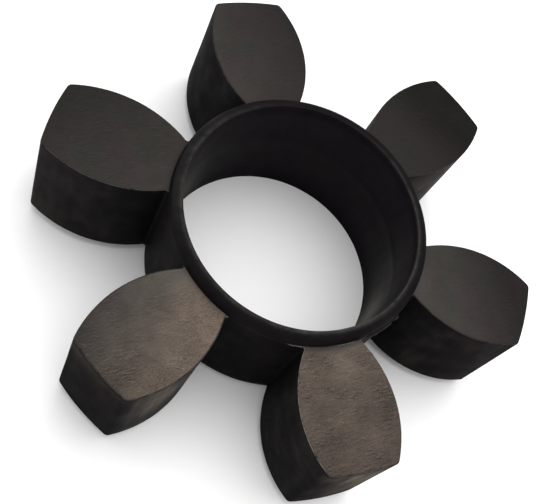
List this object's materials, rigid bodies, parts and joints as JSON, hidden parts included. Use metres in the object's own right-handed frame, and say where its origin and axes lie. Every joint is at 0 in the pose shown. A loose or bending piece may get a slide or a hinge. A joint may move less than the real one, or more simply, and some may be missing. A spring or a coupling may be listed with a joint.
{
  "type": "jaw coupling spider",
  "caption": "One-piece moulded rubber spider for a jaw coupling: a thin round sleeve with rounded collars and barrel-shaped lobes around it.",
  "frame": {"origin": "on the coupling's axis, at the lower collar's flat face, which is the lowest plane of the part", "axes": "+Z along the coupling's axis; +X along the middle of one lobe"},
  "size_m": [0.174, 0.1608, 0.0498],
  "materials": {
    "rubber": "matt, moulded, with fine scuffs"
  },
  "bodies": {
    "root": {"coupling_spider": "rubber"}
  },
  "joints": []
}
